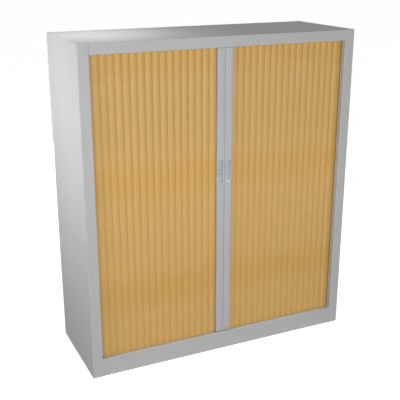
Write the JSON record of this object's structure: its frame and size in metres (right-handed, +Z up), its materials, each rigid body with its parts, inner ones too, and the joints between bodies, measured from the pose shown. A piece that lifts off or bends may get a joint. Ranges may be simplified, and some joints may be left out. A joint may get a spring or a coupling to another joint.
{
  "type": "tambour door cabinet",
  "caption": "Free-standing steel office cupboard with sliding curtain doors of beech-effect slats that meet at lead rails with grips, shelves inside and levelling feet.",
  "frame": {"origin": "on the floor under the middle of the cabinet, at its overall centre in width and depth", "axes": "+Z up, +X to the right of someone who faces the doors, the doors face -Y"},
  "size_m": [1.2, 0.43, 1.36],
  "materials": {
    "carcass_paint": "smooth aluminium-grey powder coat, satin",
    "beech_slat": "beech-effect rigid PVC, fine satin",
    "lead_rail": "satin anodised extrusion",
    "grip_plastic": "moulded grey plastic, fine texture",
    "track_plastic": "moulded pale grey plastic",
    "zinc_steel": "zinc-plated steel"
  },
  "bodies": {
    "carcass": {"left_side_panel": "carcass_paint", "right_side_panel": "carcass_paint", "top_panel": "carcass_paint", "base_panel": "carcass_paint", "back_panel": "carcass_paint", "left_lining": "carcass_paint", "right_lining": "carcass_paint", "shelf_1": "carcass_paint", "shelf_2": "carcass_paint", "shelf_3": "carcass_paint", "left_lower_track": "track_plastic", "left_upper_track": "track_plastic", "right_lower_track": "track_plastic", "right_upper_track": "track_plastic"},
    "left_door": {"left_lead_rail": "lead_rail", "left_grip": "grip_plastic"},
    "right_door": {"right_lead_rail": "lead_rail", "right_grip": "grip_plastic"},
    "lock": {"lock_barrel": "zinc_steel", "lock_hook": "zinc_steel"},
    "left_slat_01": {"left_slat_01": "beech_slat"},
    "left_slat_02": {"left_slat_02": "beech_slat"},
    "left_slat_03": {"left_slat_03": "beech_slat"},
    "left_slat_04": {"left_slat_04": "beech_slat"},
    "left_slat_05": {"left_slat_05": "beech_slat"},
    "left_slat_06": {"left_slat_06": "beech_slat"},
    "left_slat_07": {"left_slat_07": "beech_slat"},
    "left_slat_08": {"left_slat_08": "beech_slat"},
    "left_slat_09": {"left_slat_09": "beech_slat"},
    "left_slat_10": {"left_slat_10": "beech_slat"},
    "left_slat_11": {"left_slat_11": "beech_slat"},
    "left_slat_12": {"left_slat_12": "beech_slat"},
    "left_slat_13": {"left_slat_13": "beech_slat"},
    "left_slat_14": {"left_slat_14": "beech_slat"},
    "left_slat_15": {"left_slat_15": "beech_slat"},
    "left_slat_16": {"left_slat_16": "beech_slat"},
    "left_slat_17": {"left_slat_17": "beech_slat"},
    "left_slat_18": {"left_slat_18": "beech_slat"},
    "right_slat_01": {"right_slat_01": "beech_slat"},
    "right_slat_02": {"right_slat_02": "beech_slat"},
    "right_slat_03": {"right_slat_03": "beech_slat"},
    "right_slat_04": {"right_slat_04": "beech_slat"},
    "right_slat_05": {"right_slat_05": "beech_slat"},
    "right_slat_06": {"right_slat_06": "beech_slat"},
    "right_slat_07": {"right_slat_07": "beech_slat"},
    "right_slat_08": {"right_slat_08": "beech_slat"},
    "right_slat_09": {"right_slat_09": "beech_slat"},
    "right_slat_10": {"right_slat_10": "beech_slat"},
    "right_slat_11": {"right_slat_11": "beech_slat"},
    "right_slat_12": {"right_slat_12": "beech_slat"},
    "right_slat_13": {"right_slat_13": "beech_slat"},
    "right_slat_14": {"right_slat_14": "beech_slat"},
    "right_slat_15": {"right_slat_15": "beech_slat"},
    "right_slat_16": {"right_slat_16": "beech_slat"},
    "right_slat_17": {"right_slat_17": "beech_slat"},
    "right_slat_18": {"right_slat_18": "beech_slat"},
    "foot_1": {"levelling_foot_1": "zinc_steel"},
    "foot_2": {"levelling_foot_2": "zinc_steel"},
    "foot_3": {"levelling_foot_3": "zinc_steel"},
    "foot_4": {"levelling_foot_4": "zinc_steel"}
  },
  "joints": [
    {"name": "left_door_slide", "type": "slide", "parent": "carcass", "child": "left_door", "axis": [-1, 0, 0], "range_m": [0, 0.518]},
    {"name": "right_door_slide", "type": "slide", "parent": "carcass", "child": "right_door", "axis": [1, 0, 0], "range_m": [0, 0.518]},
    {"name": "lock_turn", "type": "hinge", "parent": "left_door", "child": "lock", "pos_m": [-0.017, -0.2056, 0.812], "axis": [0, -1, 0], "range_deg": [0, 90]},
    {"name": "left_slat_01_slide", "type": "slide", "parent": "carcass", "child": "left_slat_01", "axis": [-1, 0, 0], "range_m": [0, 0.518], "deforming": ["left_slat_01"]},
    {"name": "left_slat_02_slide", "type": "slide", "parent": "carcass", "child": "left_slat_02", "axis": [-1, 0, 0], "range_m": [0, 0.4887], "deforming": ["left_slat_02"]},
    {"name": "left_slat_03_slide", "type": "slide", "parent": "carcass", "child": "left_slat_03", "axis": [-1, 0, 0], "range_m": [0, 0.4594], "deforming": ["left_slat_03"]},
    {"name": "left_slat_04_slide", "type": "slide", "parent": "carcass", "child": "left_slat_04", "axis": [-1, 0, 0], "range_m": [0, 0.4301], "deforming": ["left_slat_04"]},
    {"name": "left_slat_05_slide", "type": "slide", "parent": "carcass", "child": "left_slat_05", "axis": [-1, 0, 0], "range_m": [0, 0.4008], "deforming": ["left_slat_05"]},
    {"name": "left_slat_06_slide", "type": "slide", "parent": "carcass", "child": "left_slat_06", "axis": [-1, 0, 0], "range_m": [0, 0.3715], "deforming": ["left_slat_06"]},
    {"name": "left_slat_07_slide", "type": "slide", "parent": "carcass", "child": "left_slat_07", "axis": [-1, 0, 0], "range_m": [0, 0.3422], "deforming": ["left_slat_07"]},
    {"name": "left_slat_08_slide", "type": "slide", "parent": "carcass", "child": "left_slat_08", "axis": [-1, 0, 0], "range_m": [0, 0.3129], "deforming": ["left_slat_08"]},
    {"name": "left_slat_09_slide", "type": "slide", "parent": "carcass", "child": "left_slat_09", "axis": [-1, 0, 0], "range_m": [0, 0.2836], "deforming": ["left_slat_09"]},
    {"name": "left_slat_10_slide", "type": "slide", "parent": "carcass", "child": "left_slat_10", "axis": [-1, 0, 0], "range_m": [0, 0.2543], "deforming": ["left_slat_10"]},
    {"name": "left_slat_11_slide", "type": "slide", "parent": "carcass", "child": "left_slat_11", "axis": [-1, 0, 0], "range_m": [0, 0.225], "deforming": ["left_slat_11"]},
    {"name": "left_slat_12_slide", "type": "slide", "parent": "carcass", "child": "left_slat_12", "axis": [-1, 0, 0], "range_m": [0, 0.1957], "deforming": ["left_slat_12"]},
    {"name": "left_slat_13_slide", "type": "slide", "parent": "carcass", "child": "left_slat_13", "axis": [-1, 0, 0], "range_m": [0, 0.1664], "deforming": ["left_slat_13"]},
    {"name": "left_slat_14_slide", "type": "slide", "parent": "carcass", "child": "left_slat_14", "axis": [-1, 0, 0], "range_m": [0, 0.1371], "deforming": ["left_slat_14"]},
    {"name": "left_slat_15_slide", "type": "slide", "parent": "carcass", "child": "left_slat_15", "axis": [-1, 0, 0], "range_m": [0, 0.1078], "deforming": ["left_slat_15"]},
    {"name": "left_slat_16_slide", "type": "slide", "parent": "carcass", "child": "left_slat_16", "axis": [-1, 0, 0], "range_m": [0, 0.0785], "deforming": ["left_slat_16"]},
    {"name": "left_slat_17_slide", "type": "slide", "parent": "carcass", "child": "left_slat_17", "axis": [-1, 0, 0], "range_m": [0, 0.0492], "deforming": ["left_slat_17"]},
    {"name": "left_slat_18_slide", "type": "slide", "parent": "carcass", "child": "left_slat_18", "axis": [-1, 0, 0], "range_m": [0, 0.0199], "deforming": ["left_slat_18"]},
    {"name": "right_slat_01_slide", "type": "slide", "parent": "carcass", "child": "right_slat_01", "axis": [1, 0, 0], "range_m": [0, 0.518], "deforming": ["right_slat_01"]},
    {"name": "right_slat_02_slide", "type": "slide", "parent": "carcass", "child": "right_slat_02", "axis": [1, 0, 0], "range_m": [0, 0.4887], "deforming": ["right_slat_02"]},
    {"name": "right_slat_03_slide", "type": "slide", "parent": "carcass", "child": "right_slat_03", "axis": [1, 0, 0], "range_m": [0, 0.4594], "deforming": ["right_slat_03"]},
    {"name": "right_slat_04_slide", "type": "slide", "parent": "carcass", "child": "right_slat_04", "axis": [1, 0, 0], "range_m": [0, 0.4301], "deforming": ["right_slat_04"]},
    {"name": "right_slat_05_slide", "type": "slide", "parent": "carcass", "child": "right_slat_05", "axis": [1, 0, 0], "range_m": [0, 0.4008], "deforming": ["right_slat_05"]},
    {"name": "right_slat_06_slide", "type": "slide", "parent": "carcass", "child": "right_slat_06", "axis": [1, 0, 0], "range_m": [0, 0.3715], "deforming": ["right_slat_06"]},
    {"name": "right_slat_07_slide", "type": "slide", "parent": "carcass", "child": "right_slat_07", "axis": [1, 0, 0], "range_m": [0, 0.3422], "deforming": ["right_slat_07"]},
    {"name": "right_slat_08_slide", "type": "slide", "parent": "carcass", "child": "right_slat_08", "axis": [1, 0, 0], "range_m": [0, 0.3129], "deforming": ["right_slat_08"]},
    {"name": "right_slat_09_slide", "type": "slide", "parent": "carcass", "child": "right_slat_09", "axis": [1, 0, 0], "range_m": [0, 0.2836], "deforming": ["right_slat_09"]},
    {"name": "right_slat_10_slide", "type": "slide", "parent": "carcass", "child": "right_slat_10", "axis": [1, 0, 0], "range_m": [0, 0.2543], "deforming": ["right_slat_10"]},
    {"name": "right_slat_11_slide", "type": "slide", "parent": "carcass", "child": "right_slat_11", "axis": [1, 0, 0], "range_m": [0, 0.225], "deforming": ["right_slat_11"]},
    {"name": "right_slat_12_slide", "type": "slide", "parent": "carcass", "child": "right_slat_12", "axis": [1, 0, 0], "range_m": [0, 0.1957], "deforming": ["right_slat_12"]},
    {"name": "right_slat_13_slide", "type": "slide", "parent": "carcass", "child": "right_slat_13", "axis": [1, 0, 0], "range_m": [0, 0.1664], "deforming": ["right_slat_13"]},
    {"name": "right_slat_14_slide", "type": "slide", "parent": "carcass", "child": "right_slat_14", "axis": [1, 0, 0], "range_m": [0, 0.1371], "deforming": ["right_slat_14"]},
    {"name": "right_slat_15_slide", "type": "slide", "parent": "carcass", "child": "right_slat_15", "axis": [1, 0, 0], "range_m": [0, 0.1078], "deforming": ["right_slat_15"]},
    {"name": "right_slat_16_slide", "type": "slide", "parent": "carcass", "child": "right_slat_16", "axis": [1, 0, 0], "range_m": [0, 0.0785], "deforming": ["right_slat_16"]},
    {"name": "right_slat_17_slide", "type": "slide", "parent": "carcass", "child": "right_slat_17", "axis": [1, 0, 0], "range_m": [0, 0.0492], "deforming": ["right_slat_17"]},
    {"name": "right_slat_18_slide", "type": "slide", "parent": "carcass", "child": "right_slat_18", "axis": [1, 0, 0], "range_m": [0, 0.0199], "deforming": ["right_slat_18"]},
    {"name": "foot_1_screw", "type": "slide", "parent": "carcass", "child": "foot_1", "axis": [0, 0, -1], "range_m": [0, 0.017]},
    {"name": "foot_2_screw", "type": "slide", "parent": "carcass", "child": "foot_2", "axis": [0, 0, -1], "range_m": [0, 0.017]},
    {"name": "foot_3_screw", "type": "slide", "parent": "carcass", "child": "foot_3", "axis": [0, 0, -1], "range_m": [0, 0.017]},
    {"name": "foot_4_screw", "type": "slide", "parent": "carcass", "child": "foot_4", "axis": [0, 0, -1], "range_m": [0, 0.017]}
  ],
  "couplings": [
    {"joint": "left_slat_01_slide", "follows": "left_door_slide", "ratio": 1},
    {"joint": "left_slat_02_slide", "follows": "left_door_slide", "ratio": 0.94344},
    {"joint": "left_slat_03_slide", "follows": "left_door_slide", "ratio": 0.88687},
    {"joint": "left_slat_04_slide", "follows": "left_door_slide", "ratio": 0.83031},
    {"joint": "left_slat_05_slide", "follows": "left_door_slide", "ratio": 0.77375},
    {"joint": "left_slat_06_slide", "follows": "left_door_slide", "ratio": 0.71718},
    {"joint": "left_slat_07_slide", "follows": "left_door_slide", "ratio": 0.66062},
    {"joint": "left_slat_08_slide", "follows": "left_door_slide", "ratio": 0.60405},
    {"joint": "left_slat_09_slide", "follows": "left_door_slide", "ratio": 0.54749},
    {"joint": "left_slat_10_slide", "follows": "left_door_slide", "ratio": 0.49093},
    {"joint": "left_slat_11_slide", "follows": "left_door_slide", "ratio": 0.43436},
    {"joint": "left_slat_12_slide", "follows": "left_door_slide", "ratio": 0.3778},
    {"joint": "left_slat_13_slide", "follows": "left_door_slide", "ratio": 0.32124},
    {"joint": "left_slat_14_slide", "follows": "left_door_slide", "ratio": 0.26467},
    {"joint": "left_slat_15_slide", "follows": "left_door_slide", "ratio": 0.20811},
    {"joint": "left_slat_16_slide", "follows": "left_door_slide", "ratio": 0.15154},
    {"joint": "left_slat_17_slide", "follows": "left_door_slide", "ratio": 0.094981},
    {"joint": "left_slat_18_slide", "follows": "left_door_slide", "ratio": 0.038417},
    {"joint": "right_slat_01_slide", "follows": "right_door_slide", "ratio": 1},
    {"joint": "right_slat_02_slide", "follows": "right_door_slide", "ratio": 0.94344},
    {"joint": "right_slat_03_slide", "follows": "right_door_slide", "ratio": 0.88687},
    {"joint": "right_slat_04_slide", "follows": "right_door_slide", "ratio": 0.83031},
    {"joint": "right_slat_05_slide", "follows": "right_door_slide", "ratio": 0.77375},
    {"joint": "right_slat_06_slide", "follows": "right_door_slide", "ratio": 0.71718},
    {"joint": "right_slat_07_slide", "follows": "right_door_slide", "ratio": 0.66062},
    {"joint": "right_slat_08_slide", "follows": "right_door_slide", "ratio": 0.60405},
    {"joint": "right_slat_09_slide", "follows": "right_door_slide", "ratio": 0.54749},
    {"joint": "right_slat_10_slide", "follows": "right_door_slide", "ratio": 0.49093},
    {"joint": "right_slat_11_slide", "follows": "right_door_slide", "ratio": 0.43436},
    {"joint": "right_slat_12_slide", "follows": "right_door_slide", "ratio": 0.3778},
    {"joint": "right_slat_13_slide", "follows": "right_door_slide", "ratio": 0.32124},
    {"joint": "right_slat_14_slide", "follows": "right_door_slide", "ratio": 0.26467},
    {"joint": "right_slat_15_slide", "follows": "right_door_slide", "ratio": 0.20811},
    {"joint": "right_slat_16_slide", "follows": "right_door_slide", "ratio": 0.15154},
    {"joint": "right_slat_17_slide", "follows": "right_door_slide", "ratio": 0.094981},
    {"joint": "right_slat_18_slide", "follows": "right_door_slide", "ratio": 0.038417}
  ]
}
